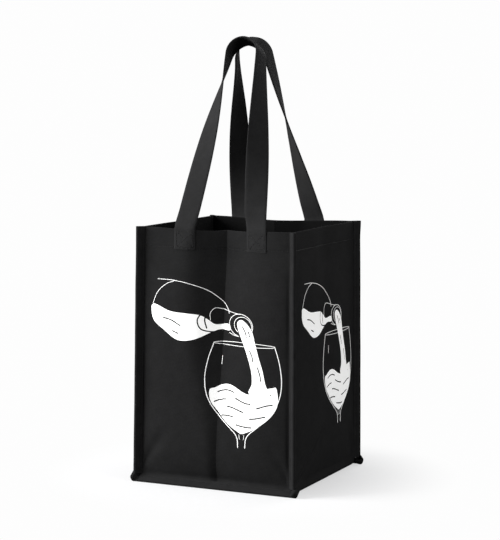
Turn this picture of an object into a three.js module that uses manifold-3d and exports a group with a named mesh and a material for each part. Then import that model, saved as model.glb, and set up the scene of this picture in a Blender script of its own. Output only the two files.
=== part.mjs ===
// Four-bottle wine tote of black non-woven fabric.
// Millimetres. +Z is up, the front panel faces -Y, and the origin is the middle of the base, on the floor.
// The front and rear panels and a U-shaped gusset strip meet at bound seams. A sewn cross divider makes four
// compartments over a loose base board. Each handle is one strap: two ends sewn to a panel, and a free loop.

import * as THREE from "three";
import { mergeVertices } from "three/addons/utils/BufferGeometryUtils.js";
import Module from "manifold-3d";

// ---- Driving dimensions ----

const WIDTH = 178; // left to right, outside faces
const DEPTH = 178; // front to rear, outside faces
const HEIGHT = 280; // floor to rim
const FABRIC = 1; // thickness of the non-woven fabric
const GAP = 0.3; // clearance between neighbouring pieces
const FOLD_RADIUS = 4; // outside radius where the gusset strip turns under the bag

const HEM_DEPTH = 22; // height of the fabric folded inwards at the rim
const HEM_END_GAP = 2.5; // the folded fabric stops this far from each corner
const HEM_STITCH_BELOW_RIM = 20;

const BINDING_THICKNESS = 4; // the tape wrapped around two seam allowances
const BINDING_DEPTH = 8; // how far a corner binding stands out along its diagonal
const BOTTOM_BINDING_THICKNESS = 3.4;
const BOTTOM_BINDING_STANDOUT = 8; // how far a bottom binding stands out from its panel
const BOTTOM_BINDING_DROP = 4.5; // how far it falls from its root to the middle of its tip
const BOTTOM_BINDING_OVERHANG = 4; // how far its ends pass the sides
const BINDINGS_APART = 0.6; // from the lower end of a corner binding to the bottom binding
const FLOOR_CLEARANCE = 0.2; // under the bottom bindings: the bag stands on its base

const DIVIDER_BOTTOM = 30;
const DIVIDER_TOP = 255;
const BOARD_SIZE = 172;
const BOARD_THICKNESS = 1.5;

const STRAP_WIDTH = 25;
const STRAP_THICKNESS = 1.6;
const TAB_LENGTH = 23; // sewn end of a strap, below the rim
const LOOP_SLANT = 214.5; // rim to the middle of the strap at the top, along the leaning loop
const LOOP_TOP_RADIUS = 19.5;
const LOOP_START = 2; // the free loop begins this far beyond the rim, clear of the sewn end as it swings
const LOOPS_APART = 1; // between the two loops where they lean together at the top

const THREAD = 0.4; // how far a stitch stands out
const THREAD_WIDTH = 0.5;
const PATCH_WIDTH = 19; // stitched box on a strap end
const PATCH_HEIGHT = 16;
const PATCH_BELOW_RIM = 2.5;

// outward: -1 faces the front and 1 the rear. The centres are where the middle of the handle lies in X.
const FRONT_HANDLE = {
  outward: -1,
  centreAtRim: 4.7,
  centreAtTop: 0.5,
  halfSpacing: 41.5,
  leftTwistPower: 2,
  rightTwistPower: 1.4,
};
const REAR_HANDLE = {
  outward: 1,
  centreAtRim: -7,
  centreAtTop: -7,
  halfSpacing: 46,
  leftTwistPower: 1.3,
  rightTwistPower: 1.45,
};

const CORNER_SEGMENTS = 6; // around a fold
const LEG_STATIONS = 30; // sections along one leg of a loop
const ARC_STATIONS = 12; // sections around half of its top

// ---- Worked out from them ----

const HALF_WIDTH = WIDTH / 2;
const HALF_DEPTH = DEPTH / 2;
const TAB_FACE = HALF_DEPTH + GAP + STRAP_THICKNESS; // outer face of a strap end
const PATCH_FACE = TAB_FACE + GAP + THREAD; // outer face of its stitches
const STRAP_MIDDLE = HALF_DEPTH + GAP + STRAP_THICKNESS / 2;

// ---- Materials ----

function fabric(colour, roughness) {
  return new THREE.MeshStandardMaterial({ color: colour, roughness, metalness: 0 });
}

const nonWoven = () => fabric(0x1b1b1c, 0.9);
const bindingTape = () => fabric(0x202021, 0.88);
const strapFabric = () => fabric(0x19191a, 0.85);
const thread = () => fabric(0x111112, 0.7);
const board = () => fabric(0x4a4a4a, 0.9);

// ---- Solids ----

const wasm = await Module();
wasm.setup();

function toSolid(geometry) {
  const bare = geometry.clone();
  bare.deleteAttribute("normal");
  bare.deleteAttribute("uv");
  const merged = mergeVertices(bare, 1e-4);
  return new wasm.Manifold(
    new wasm.Mesh({
      numProp: 3,
      vertProperties: merged.attributes.position.array,
      triVerts: new Uint32Array(merged.index.array),
    }),
  );
}

function toGeometry(solid) {
  const { vertProperties, triVerts } = solid.getMesh();
  const geometry = new THREE.BufferGeometry();
  geometry.setAttribute("position", new THREE.BufferAttribute(vertProperties, 3));
  geometry.setIndex(new THREE.BufferAttribute(triVerts, 1));
  geometry.computeVertexNormals();
  return geometry;
}

function join(...geometries) {
  const solids = geometries.map(toSolid);
  return toGeometry(solids.reduce((whole, next) => whole.add(next)));
}

function named(name, geometry, material) {
  const mesh = new THREE.Mesh(geometry, material);
  mesh.name = name;
  return mesh;
}

function box(from, to) {
  const size = to.map((value, axis) => value - from[axis]);
  const middle = to.map((value, axis) => (value + from[axis]) / 2);
  return new THREE.BoxGeometry(...size).translate(...middle);
}

const extrusion = (shape, depth) =>
  new THREE.ExtrudeGeometry(shape, { depth, bevelEnabled: false, curveSegments: CORNER_SEGMENTS });

// A shape drawn in X and Y, standing up from one height to another.
function upright(shape, bottom, top) {
  return extrusion(shape, top - bottom).translate(0, 0, bottom);
}

// A shape drawn in X and Z, with its thickness running along Y.
function acrossDepth(shape, front, rear) {
  return extrusion(shape, rear - front)
    .rotateX(Math.PI / 2)
    .translate(0, rear, 0);
}

// A shape drawn in Y and Z, running along X.
function acrossWidth(shape, left, right) {
  const axes = new THREE.Matrix4().makeBasis(
    new THREE.Vector3(0, 1, 0),
    new THREE.Vector3(0, 0, 1),
    new THREE.Vector3(1, 0, 0),
  );
  return extrusion(shape, right - left)
    .applyMatrix4(axes)
    .translate(left, 0, 0);
}

// The outline of a sheet that follows a line of points, with mitred corners.
function sheetOutline(points, thickness) {
  const side = (sign) =>
    points.map((point, i) => {
      const before = points[Math.max(i - 1, 0)];
      const after = points[Math.min(i + 1, points.length - 1)];
      const entering = i > 0 ? point.clone().sub(before).normalize() : after.clone().sub(point).normalize();
      const leaving = i < points.length - 1 ? after.clone().sub(point).normalize() : entering;
      const tangent = entering.clone().add(leaving).normalize();
      const normal = new THREE.Vector2(-tangent.y, tangent.x);
      const mitre = thickness / 2 / tangent.dot(entering);
      return point.clone().addScaledVector(normal, sign * mitre);
    });
  return new THREE.Shape([...side(-1), ...side(1).reverse()]);
}

// ---- Panels and gusset ----

// One side of the bag with its folded hem. outward is -1 for the front and 1 for the rear.
function panel(outward) {
  const outline = new THREE.Shape();
  outline.moveTo(-HALF_WIDTH, HEIGHT);
  outline.lineTo(-HALF_WIDTH, FOLD_RADIUS);
  outline.absarc(-HALF_WIDTH + FOLD_RADIUS, FOLD_RADIUS, FOLD_RADIUS, Math.PI, 1.5 * Math.PI, false);
  outline.absarc(HALF_WIDTH - FOLD_RADIUS, FOLD_RADIUS, FOLD_RADIUS, 1.5 * Math.PI, 2 * Math.PI, false);
  outline.lineTo(HALF_WIDTH, HEIGHT);
  const hemHalfWidth = HALF_WIDTH - HEM_END_GAP;
  const outer = outward * HALF_DEPTH;
  const inner = outward * (HALF_DEPTH - FABRIC);
  const hemInner = outward * (HALF_DEPTH - 2 * FABRIC);
  const sheet = acrossDepth(outline, Math.min(outer, inner), Math.max(outer, inner));
  const hem = box(
    [-hemHalfWidth, Math.min(outer, hemInner), HEIGHT - HEM_DEPTH],
    [hemHalfWidth, Math.max(outer, hemInner), HEIGHT],
  );
  return join(sheet, hem);
}

// Left side, base and right side in one length, folded under at both lower edges.
function gussetStrip() {
  const middle = HALF_WIDTH - FABRIC / 2;
  const radius = FOLD_RADIUS - FABRIC / 2;
  const fold = (centreX, fromAngle) =>
    Array.from({ length: CORNER_SEGMENTS + 1 }, (_, i) => {
      const angle = fromAngle + (i / CORNER_SEGMENTS) * (Math.PI / 2);
      return new THREE.Vector2(
        centreX + radius * Math.cos(angle),
        FOLD_RADIUS + radius * Math.sin(angle),
      );
    });
  const line = [
    new THREE.Vector2(-middle, HEIGHT),
    ...fold(-middle + radius, Math.PI),
    ...fold(middle - radius, 1.5 * Math.PI),
    new THREE.Vector2(middle, HEIGHT),
  ];
  const halfStrip = HALF_DEPTH - FABRIC - GAP;
  const strip = acrossDepth(sheetOutline(line, FABRIC), -halfStrip, halfStrip);
  const hemHalfDepth = halfStrip - HEM_END_GAP;
  const hem = (sign) => {
    const xs = [sign * (HALF_WIDTH - FABRIC / 2), sign * (HALF_WIDTH - 2 * FABRIC)];
    return box(
      [Math.min(...xs), -hemHalfDepth, HEIGHT - HEM_DEPTH],
      [Math.max(...xs), hemHalfDepth, HEIGHT],
    );
  };
  return join(strip, hem(-1), hem(1));
}

// ---- Bindings ----

// Tape wrapped around a vertical seam, standing out along the corner's diagonal. The notch in its root fits
// around the corner, and its tip is round. xSign and ySign pick the corner.
function cornerBinding(xSign, ySign) {
  const half = BINDING_THICKNESS / 2;
  const notch = GAP * Math.SQRT2;
  const tip = BINDING_DEPTH - half;
  const outline = new THREE.Shape();
  outline.moveTo(notch, 0);
  outline.lineTo(notch - half, -half);
  outline.lineTo(tip, -half);
  outline.absarc(tip, 0, half, -Math.PI / 2, Math.PI / 2, false);
  outline.lineTo(notch - half, half);
  const bottom = BOTTOM_BINDING_DROP + BINDING_THICKNESS + BINDINGS_APART;
  return upright(outline, bottom, HEIGHT)
    .rotateZ(Math.atan2(ySign, xSign))
    .translate(xSign * HALF_WIDTH, ySign * HALF_DEPTH, 0);
}

// Tape wrapped around the seam between a panel and the base. It leans outwards and down to the floor.
function bottomBinding(outward) {
  const half = BOTTOM_BINDING_THICKNESS / 2;
  const rootX = -(HALF_DEPTH + GAP);
  const tip = new THREE.Vector2(-(HALF_DEPTH + BOTTOM_BINDING_STANDOUT) + half, FLOOR_CLEARANCE + half);
  const root = new THREE.Vector2(rootX, tip.y + BOTTOM_BINDING_DROP);
  const angle = Math.atan2(tip.y - root.y, tip.x - root.x);
  const rootHalf = half / Math.abs(Math.cos(angle));
  const outline = new THREE.Shape();
  outline.moveTo(rootX, root.y - rootHalf);
  outline.lineTo(rootX, root.y + rootHalf);
  outline.absarc(tip.x, tip.y, half, angle - Math.PI / 2, angle - 1.5 * Math.PI, false);
  const halfLength = HALF_WIDTH + BOTTOM_BINDING_OVERHANG;
  const binding = acrossWidth(outline, -halfLength, halfLength);
  return outward < 0 ? binding : binding.rotateZ(Math.PI);
}

// ---- Inside ----

function centreDivider() {
  const half = HALF_DEPTH - FABRIC - GAP;
  return box([-FABRIC / 2, -half, DIVIDER_BOTTOM], [FABRIC / 2, half, DIVIDER_TOP]);
}

function sideDivider(sign) {
  const xs = [sign * (FABRIC / 2 + GAP), sign * (HALF_WIDTH - FABRIC - GAP)];
  return box([Math.min(...xs), -FABRIC / 2, DIVIDER_BOTTOM], [Math.max(...xs), FABRIC / 2, DIVIDER_TOP]);
}

function baseBoard() {
  const half = BOARD_SIZE / 2;
  const bottom = FABRIC + GAP;
  return box([-half, -half, bottom], [half, half, bottom + BOARD_THICKNESS]);
}

// ---- Handles ----

const legX = (handle, sign) => handle.centreAtRim + sign * handle.halfSpacing;

function strapTab(handle, sign) {
  const x = legX(handle, sign);
  const ys = [handle.outward * (HALF_DEPTH + GAP), handle.outward * TAB_FACE];
  return box(
    [x - STRAP_WIDTH / 2, Math.min(...ys), HEIGHT - TAB_LENGTH],
    [x + STRAP_WIDTH / 2, Math.max(...ys), HEIGHT - GAP],
  );
}

// A band of rectangular section through a list of stations. across runs along its width and out is the
// direction its outer face looks.
function band(stations, width, thickness) {
  const corners = [
    [-1, -1],
    [1, -1],
    [1, 1],
    [-1, 1],
  ];
  const positions = stations.flatMap(({ centre, across, out }) =>
    corners.flatMap(([a, o]) =>
      centre
        .clone()
        .addScaledVector(across, (a * width) / 2)
        .addScaledVector(out, (o * thickness) / 2)
        .toArray(),
    ),
  );
  const quad = (a, b, c, d) => [a, b, c, a, c, d];
  const index = [];
  for (let i = 0; i + 1 < stations.length; i += 1) {
    const here = 4 * i;
    const next = here + 4;
    for (let k = 0; k < 4; k += 1) {
      const l = (k + 1) % 4;
      index.push(...quad(here + k, here + l, next + l, next + k));
    }
  }
  const last = 4 * (stations.length - 1);
  index.push(...quad(3, 2, 1, 0), ...quad(last, last + 1, last + 2, last + 3));
  const geometry = new THREE.BufferGeometry();
  geometry.setAttribute("position", new THREE.Float32BufferAttribute(positions, 3));
  geometry.setIndex(index);
  return geometry;
}

// The free loop of a strap. It lies in a plane that leans in over the bag from the rim: two straight legs and
// an arc that touches both. The strap is flat to that plane at the rim and stands edge-on to it at the top,
// with its outer face turned up. It is built as the front one, and the rear one is turned round to face back.
function handleLoop(handle) {
  const facing = -handle.outward;
  const halfAcrossTop = STRAP_WIDTH / 2;
  const reach = STRAP_MIDDLE - halfAcrossTop - LOOPS_APART / 2;
  const lean = Math.asin(reach / LOOP_SLANT);
  const rim = new THREE.Vector3(0, -STRAP_MIDDLE, HEIGHT);
  const upSlope = new THREE.Vector3(0, Math.sin(lean), Math.cos(lean));
  const outOfPlane = new THREE.Vector3(0, -Math.cos(lean), Math.sin(lean));
  const right = new THREE.Vector3(1, 0, 0);

  const arcCentre = LOOP_SLANT - LOOP_TOP_RADIUS;
  const toCentre = Math.hypot(handle.halfSpacing, arcCentre);
  const legLean = Math.atan2(handle.halfSpacing, arcCentre) - Math.asin(LOOP_TOP_RADIUS / toCentre);
  const legLength = Math.sqrt(toCentre ** 2 - LOOP_TOP_RADIUS ** 2);
  const arcAngle = Math.PI / 2 - legLean;
  const halfLength = legLength + LOOP_TOP_RADIUS * arcAngle;

  // One station on the right half, at a distance along the strap from the rim: how far from the handle's
  // middle, how far up the slope, and the angle of the in-plane outward direction above +X.
  const rightHalf = (along) => {
    if (along <= legLength) {
      return {
        aside: handle.halfSpacing - along * Math.sin(legLean),
        up: along * Math.cos(legLean),
        angle: legLean,
      };
    }
    const angle = legLean + (along - legLength) / LOOP_TOP_RADIUS;
    return {
      aside: LOOP_TOP_RADIUS * Math.cos(angle),
      up: arcCentre + LOOP_TOP_RADIUS * Math.sin(angle),
      angle,
    };
  };
  const station = (along, sign) => {
    const { aside, up, angle } = rightHalf(along);
    const middleX = facing * THREE.MathUtils.lerp(handle.centreAtRim, handle.centreAtTop, up / LOOP_SLANT);
    const power = sign * facing > 0 ? handle.rightTwistPower : handle.leftTwistPower;
    const turned = Math.sin((Math.PI / 2) * (along / halfLength) ** power);
    const twist = (Math.PI / 2) * turned;
    const centre = rim
      .clone()
      .addScaledVector(right, middleX + sign * aside)
      .addScaledVector(upSlope, up);
    const inPlane = right
      .clone()
      .multiplyScalar(sign * Math.cos(angle))
      .addScaledVector(upSlope, Math.sin(angle));
    return {
      centre,
      across: inPlane.clone().multiplyScalar(Math.cos(twist)).addScaledVector(outOfPlane, -Math.sin(twist)),
      out: inPlane.clone().multiplyScalar(Math.sin(twist)).addScaledVector(outOfPlane, Math.cos(twist)),
    };
  };

  const legSteps = Array.from(
    { length: LEG_STATIONS },
    (_, i) => LOOP_START + ((legLength - LOOP_START) * i) / LEG_STATIONS,
  );
  const arcSteps = Array.from(
    { length: ARC_STATIONS },
    (_, i) => legLength + ((halfLength - legLength) * i) / ARC_STATIONS,
  );
  const steps = [...legSteps, ...arcSteps];
  const stations = [
    ...steps.map((along) => station(along, -1)),
    station(halfLength, 1),
    ...steps.reverse().map((along) => station(along, 1)),
  ];
  const loop = band(stations, STRAP_WIDTH, STRAP_THICKNESS);
  return facing > 0 ? loop : loop.rotateZ(Math.PI);
}

// ---- Stitches ----

// A box of stitches with a cross in it, on the outer face of a strap end.
function patchStitch(handle, sign) {
  const bar = (length, angle, x, z) =>
    new THREE.BoxGeometry(length, THREAD, THREAD_WIDTH).rotateY(angle).translate(x, 0, z);
  const halfWide = PATCH_WIDTH / 2;
  const halfHigh = PATCH_HEIGHT / 2;
  const diagonal = Math.hypot(PATCH_WIDTH, PATCH_HEIGHT);
  const slope = Math.atan2(PATCH_HEIGHT, PATCH_WIDTH);
  const stitches = join(
    bar(PATCH_WIDTH + THREAD_WIDTH, 0, 0, halfHigh),
    bar(PATCH_WIDTH + THREAD_WIDTH, 0, 0, -halfHigh),
    bar(PATCH_HEIGHT, Math.PI / 2, halfWide, 0),
    bar(PATCH_HEIGHT, Math.PI / 2, -halfWide, 0),
    bar(diagonal, slope, 0, 0),
    bar(diagonal, -slope, 0, 0),
  );
  const middleY = handle.outward * (PATCH_FACE - THREAD / 2);
  return stitches.translate(legX(handle, sign), middleY, HEIGHT - PATCH_BELOW_RIM - halfHigh);
}

// The hem's stitch line on a panel. It steps out over the two strap ends sewn on top of the hem.
function panelHemStitch(handle) {
  const onPanel = handle.outward * (HALF_DEPTH + GAP + THREAD / 2);
  const onTab = handle.outward * (PATCH_FACE - THREAD / 2);
  const end = HALF_WIDTH - HEM_END_GAP;
  const stepAside = STRAP_WIDTH / 2 + GAP + THREAD;
  const line = [new THREE.Vector2(-end, onPanel)];
  for (const sign of [-1, 1]) {
    const x = legX(handle, sign);
    line.push(
      new THREE.Vector2(x - stepAside, onPanel),
      new THREE.Vector2(x - stepAside, onTab),
      new THREE.Vector2(x + stepAside, onTab),
      new THREE.Vector2(x + stepAside, onPanel),
    );
  }
  line.push(new THREE.Vector2(end, onPanel));
  const middle = HEIGHT - HEM_STITCH_BELOW_RIM;
  return upright(sheetOutline(line, THREAD), middle - THREAD_WIDTH / 2, middle + THREAD_WIDTH / 2);
}

function gussetHemStitch(sign) {
  const end = HALF_DEPTH - FABRIC - GAP - HEM_END_GAP;
  const xs = [sign * (HALF_WIDTH + GAP), sign * (HALF_WIDTH + GAP + THREAD)];
  const middle = HEIGHT - HEM_STITCH_BELOW_RIM;
  return box(
    [Math.min(...xs), -end, middle - THREAD_WIDTH / 2],
    [Math.max(...xs), end, middle + THREAD_WIDTH / 2],
  );
}

// ---- The bag ----

const bag = new THREE.Group();

bag.add(
  named("front_panel", panel(-1), nonWoven()),
  named("rear_panel", panel(1), nonWoven()),
  named("gusset_strip", gussetStrip(), nonWoven()),
  named("front_left_binding", cornerBinding(-1, -1), bindingTape()),
  named("front_right_binding", cornerBinding(1, -1), bindingTape()),
  named("rear_left_binding", cornerBinding(-1, 1), bindingTape()),
  named("rear_right_binding", cornerBinding(1, 1), bindingTape()),
  named("front_bottom_binding", bottomBinding(-1), bindingTape()),
  named("rear_bottom_binding", bottomBinding(1), bindingTape()),
  named("centre_divider", centreDivider(), nonWoven()),
  named("left_divider", sideDivider(-1), nonWoven()),
  named("right_divider", sideDivider(1), nonWoven()),
  named("base_board", baseBoard(), board()),
  named("left_hem_stitch", gussetHemStitch(-1), thread()),
  named("right_hem_stitch", gussetHemStitch(1), thread()),
);

for (const [place, handle] of Object.entries({ front: FRONT_HANDLE, rear: REAR_HANDLE })) {
  bag.add(
    named(`${place}_handle_loop`, handleLoop(handle), strapFabric()),
    named(`${place}_hem_stitch`, panelHemStitch(handle), thread()),
  );
  for (const [side, sign] of [
    ["left", -1],
    ["right", 1],
  ]) {
    bag.add(
      named(`${place}_${side}_strap_end`, strapTab(handle, sign), strapFabric()),
      named(`${place}_${side}_patch_stitch`, patchStitch(handle, sign), thread()),
    );
  }
}

export default bag;
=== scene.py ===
"""Looks of a square four-bottle wine tote in black non-woven fabric.

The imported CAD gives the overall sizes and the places. Each fabric piece is a closed mesh of its own and
stands in for its CAD node. Lengths are in metres: MM turns a size in millimetres into them.
"""

import math

import bpy
import numpy as np
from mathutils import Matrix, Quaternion, Vector
from mathutils.bvhtree import BVHTree
from mathutils.geometry import delaunay_2d_cdt
from mathutils.noise import noise as perlin


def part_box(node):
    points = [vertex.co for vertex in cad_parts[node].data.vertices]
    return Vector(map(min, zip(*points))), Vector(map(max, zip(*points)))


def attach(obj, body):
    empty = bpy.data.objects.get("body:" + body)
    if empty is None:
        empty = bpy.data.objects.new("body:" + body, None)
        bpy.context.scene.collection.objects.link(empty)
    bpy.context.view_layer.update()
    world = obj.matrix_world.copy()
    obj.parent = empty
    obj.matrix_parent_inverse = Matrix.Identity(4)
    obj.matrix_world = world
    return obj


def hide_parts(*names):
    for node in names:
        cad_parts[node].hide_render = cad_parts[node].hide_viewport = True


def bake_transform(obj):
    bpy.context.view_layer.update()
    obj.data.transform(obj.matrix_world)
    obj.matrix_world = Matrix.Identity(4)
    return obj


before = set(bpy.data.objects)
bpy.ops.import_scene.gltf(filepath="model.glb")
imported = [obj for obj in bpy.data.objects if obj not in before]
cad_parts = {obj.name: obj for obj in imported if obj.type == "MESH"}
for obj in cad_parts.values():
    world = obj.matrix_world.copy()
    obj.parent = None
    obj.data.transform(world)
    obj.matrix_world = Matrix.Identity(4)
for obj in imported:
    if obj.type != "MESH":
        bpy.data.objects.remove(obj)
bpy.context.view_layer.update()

MM = 0.001

# ---- Sizes, read from the frame ----

HALF_WIDTH, _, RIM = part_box("front_panel")[1]
HALF_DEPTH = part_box("rear_panel")[1].y
DIVIDER_BOTTOM, DIVIDER_TOP = (corner.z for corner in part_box("centre_divider"))
BOTTOM_BINDING_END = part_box("front_bottom_binding")[1].x
STRAP_END_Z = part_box("front_left_strap_end")[0].z

# ---- Fabric sizes ----

FABRIC = 1.0 * MM
HEM_DEPTH = 22 * MM
HEM_STITCH_Z = RIM - 20 * MM
CORNER_START = 3.2 * MM  # a panel begins to turn out this far before its corner
CORNER_END_LOW = 2.6 * MM  # near the floor it goes this far on without turning
CORNER_BEND = 4 * MM  # radius of that turn
CORNER_TURN = math.radians(45)
FLANGE = 5 * MM  # seam allowance beyond the bend
BOTTOM_BEND = 7 * MM
BOTTOM_TURN = math.radians(53)  # from straight down to the slope of the bottom binding
BOTTOM_FLANGE = 4.5 * MM
BOTTOM_BEND_Z = 11 * MM
FOLD_RADIUS = 4 * MM  # where the gusset strip turns under the bag
BINDING_BOTTOM = 8.5 * MM
TAPE = 0.8 * MM

STRAP_WIDTH = 25 * MM
STRAP_THICKNESS = 1.7 * MM
NOISE_ASIDE = 9  # moves the strap's noise away from where it would mirror itself
STRAP_PRESSED = 0.4  # share of its thickness that a sewn end keeps
STRAP_SUNK = 0.78 * MM  # how far the stitching presses a sewn end towards the panel
LOOP_START = 2.2 * MM  # above the rim
LOOP_SLANT = 214.5 * MM  # from the rim to the loop's top, along its lean
LOOP_TOP_RADIUS = 19.5 * MM
SEWN_STATIONS, LEG_STATIONS, TOP_STATIONS = 9, 84, 26  # cross-sections in each half of a strap

THREAD = 0.5 * MM  # its diameter
SHARP_ANGLE = math.radians(55)  # edges that turn more than this are shaded as creases
STITCH_PITCH = 3 * MM
STITCH_LENGTH = 2.3 * MM
STITCH_REACH = 1.6 * MM  # from a seam's root to the stitches of its binding

# the bag as it stands: how far the rim sags, and how wide the bottom and the rim are against the flat sizes
RIM_SAG = 2.4 * MM
BOTTOM_SPREAD, RIM_SPREAD = 1.016, 0.988
BASE_EDGE_LIFT = 4.2 * MM  # the edges of the base rise into the bottom seams
SEED_STEP = 17.3  # how far apart the noise of two seeds is taken


# ---- Small maths ----

def together(*coordinates):
    """Points from their separate coordinates, each an array or one number."""
    return np.stack(np.broadcast_arrays(*coordinates), -1)


def smooth(value, low, high):
    """0 below low, 1 above high, eased between."""
    t = np.clip((np.asarray(value, float) - low) / (high - low), 0, 1)
    return t * t * (3 - 2 * t)


def soft_noise(points, wavelength, seed):
    """Smooth noise between about -1 and 1 at each 2-D point."""
    flat = np.asarray(points, float).reshape(-1, 2) / wavelength
    values = [perlin((x, z, seed * SEED_STEP)) for x, z in flat]
    return np.array(values).reshape(np.asarray(points).shape[:-1])


def through(points, steps=10, closed=False):
    """A smooth line through a few points (Catmull-Rom)."""
    p = np.asarray(points, float)
    if closed:
        p = np.vstack([p[-1], p, p[0], p[1]])
    else:
        p = np.vstack([2 * p[0] - p[1], p, 2 * p[-1] - p[-2]])
    t = np.linspace(0, 1, steps, endpoint=False)[:, None]
    out = []
    for a, b, c, d in zip(p[:-3], p[1:-2], p[2:-1], p[3:]):
        out.append(0.5 * (2 * b + (c - a) * t + (2 * a - 5 * b + 4 * c - d) * t**2
                          + (3 * b - a - 3 * c + d) * t**3))
    if not closed:
        out.append(p[-2:-1])
    return np.vstack(out)


# ---- Mesh helpers ----

def mesh_object(name, vertices, faces, cloth=None):
    """A smooth-shaded mesh object with its faces looking out. cloth is where each vertex lies on the flat
    fabric, kept as a UV map."""
    mesh = bpy.data.meshes.new(name)
    mesh.from_pydata([tuple(v) for v in vertices], [], [tuple(f) for f in faces])
    mesh.validate()
    if signed_volume(mesh) < 0:
        mesh.flip_normals()
    if cloth is not None:
        layer = mesh.uv_layers.new(name="Cloth")
        corners = np.zeros(len(mesh.loops), np.int32)
        mesh.loops.foreach_get("vertex_index", corners)
        layer.data.foreach_set("uv", np.asarray(cloth, np.float32).reshape(-1, 2)[corners].ravel())
    mesh.polygons.foreach_set("use_smooth", [True] * len(mesh.polygons))
    mesh.set_sharp_from_angle(angle=SHARP_ANGLE)
    obj = bpy.data.objects.new(name, mesh)
    bpy.context.scene.collection.objects.link(obj)
    return obj


def move_vertices(obj, move):
    """Lets a function change the array of an object's vertex places."""
    co = np.array([v.co for v in obj.data.vertices])
    move(co)
    obj.data.vertices.foreach_set("co", co.ravel())
    obj.data.update()


def numbered(grid):
    """Vertex numbers, laid out as a grid of points is."""
    return np.arange(grid[..., 0].size).reshape(grid.shape[:2])


def quads(index):
    """The faces between the rows and columns of a grid of vertex numbers."""
    return np.stack([index[:-1, :-1], index[:-1, 1:], index[1:, 1:], index[1:, :-1]], -1).reshape(-1, 4)


def tube(index):
    """The faces of a row of rings, with capped ends."""
    return [*quads(np.hstack([index, index[:, :1]])), index[0, ::-1], index[-1]]


def shell(name, outer, thickness, cloth, outward):
    """A closed sheet behind a grid of outer points. outward is where its outer face roughly looks."""
    normals = np.cross(np.gradient(outer, axis=1), np.gradient(outer, axis=0))
    normals /= np.maximum(np.linalg.norm(normals, axis=-1, keepdims=True), 1e-12)
    normals *= np.sign(np.sum(normals * outward))
    inner = outer - normals * np.broadcast_to(thickness, outer.shape[:2])[..., None]
    index = numbered(outer)
    count = index.size
    front = quads(index)
    ring = np.concatenate([index[0], index[1:, -1], index[-1, -2::-1], index[-2:0:-1, 0]])
    after = np.roll(ring, -1)
    rim = np.stack([after, ring, ring + count, after + count], 1)
    vertices = np.vstack([outer.reshape(-1, 3), inner.reshape(-1, 3)])
    faces = np.vstack([front, front[:, ::-1] + count, rim])
    obj = mesh_object(name, vertices, faces, np.stack([cloth, cloth]))
    # the inner face, which the cloth material paints darker as shade inside the bag
    inside = obj.data.attributes.new("inside", "FLOAT", "POINT")
    inside.data.foreach_set("value", np.repeat([0.0, 1.0], count))
    return obj


def sweep(name, centres, u_axis, v_axis, profile, cloth_along):
    """A closed bar: a 2-D profile carried along a line of frames."""
    rings = centres[:, None] + profile[..., 0:1] * u_axis[:, None] + profile[..., 1:2] * v_axis[:, None]
    around = np.cumsum(np.linalg.norm(np.diff(rings[0], axis=0, prepend=rings[0, -1:]), axis=1))
    cloth = together(around[None, :], cloth_along[:, None])
    return mesh_object(name, rings.reshape(-1, 3), tube(numbered(rings)), cloth)


def signed_volume(mesh):
    """Six times a mesh's volume, negative when its faces look in."""
    total = 0.0
    for polygon in mesh.polygons:
        corners = [mesh.vertices[i].co for i in polygon.vertices]
        for second, third in zip(corners[1:], corners[2:]):
            total += corners[0].dot(second.cross(third))
    return total


# ---- How the four sides of the bag bulge: a is the place across a side, from its middle ----

def crease_x(z):
    """Where the divider is sewn to the front panel: it leans a little."""
    return (1.2 + 6.4 * np.asarray(z, float) / RIM) * MM


def ramp_down(distance, near, far):
    """What is left to climb, at a distance, on a slope that is 1 up to near and eases to 0 at far."""
    t = np.clip((distance - near) / (far - near), 0, 1)
    return np.clip(near - distance, 0, None) + (far - near) * (0.5 - t + t**3 - t**4 / 2)


def creased(a, z, seam, steepness, crest):
    """The profile across a panel that a sewn divider pulls in along one sharp line. From the left corner the
    fabric climbs to a crest and drops to the line. Right of it, it climbs back in one long curve that turns
    over towards the right corner. The valley is wide at the top and narrow at the bottom."""
    edge_slope = 0.03
    height = np.clip(z / RIM, 0, 1)
    near = (2 + 20 * smooth(height, 0.2, 0.6) + 8 * smooth(height, 0.88, 1)) * MM
    far = (12 + 40 * smooth(height, 0.06, 0.75) - 14 * smooth(height, 0.88, 1)) * MM
    crest = crest * MM * smooth(height, 0, 0.5)
    away = np.abs(a - seam)
    climb = crest * np.clip((a + HALF_WIDTH) / (HALF_WIDTH + seam - far), 0, 1)
    left = climb - steepness * ramp_down(away, near, far)
    bottom = crest - steepness * ramp_down(0, near, far)
    lobe = HALF_WIDTH - seam
    turn = 0.06 * lobe + 0.25 * lobe * height
    slope = (edge_slope * (lobe - turn) / 2 - bottom) / ((lobe + turn) / 2)
    t = np.clip((away - turn) / (lobe - turn), 0, 1)
    right = bottom + slope * away - (slope + edge_slope) * (lobe - turn) * (t**3 - t**4 / 2)
    return np.where(a < seam, left, right)


def fold(a, z, start, end, depth, width):
    """A soft straight fold from start to end, deepest at start and fading out at end."""
    sa, sz = np.array(start) * MM
    ea, ez = np.array(end) * MM
    length = math.hypot(ea - sa, ez - sz)
    along = ((a - sa) * (ea - sa) + (z - sz) * (ez - sz)) / length**2
    side = ((a - sa) * (ez - sz) - (z - sz) * (ea - sa)) / length
    spread = width * MM * (0.5 + np.clip(along, 0, 1))
    fade = smooth(along, -0.12, 0.05) * (1 - smooth(along, 0.5, 1.05))
    return -depth * MM * np.exp(-((side / spread) ** 2)) * fade


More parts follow.
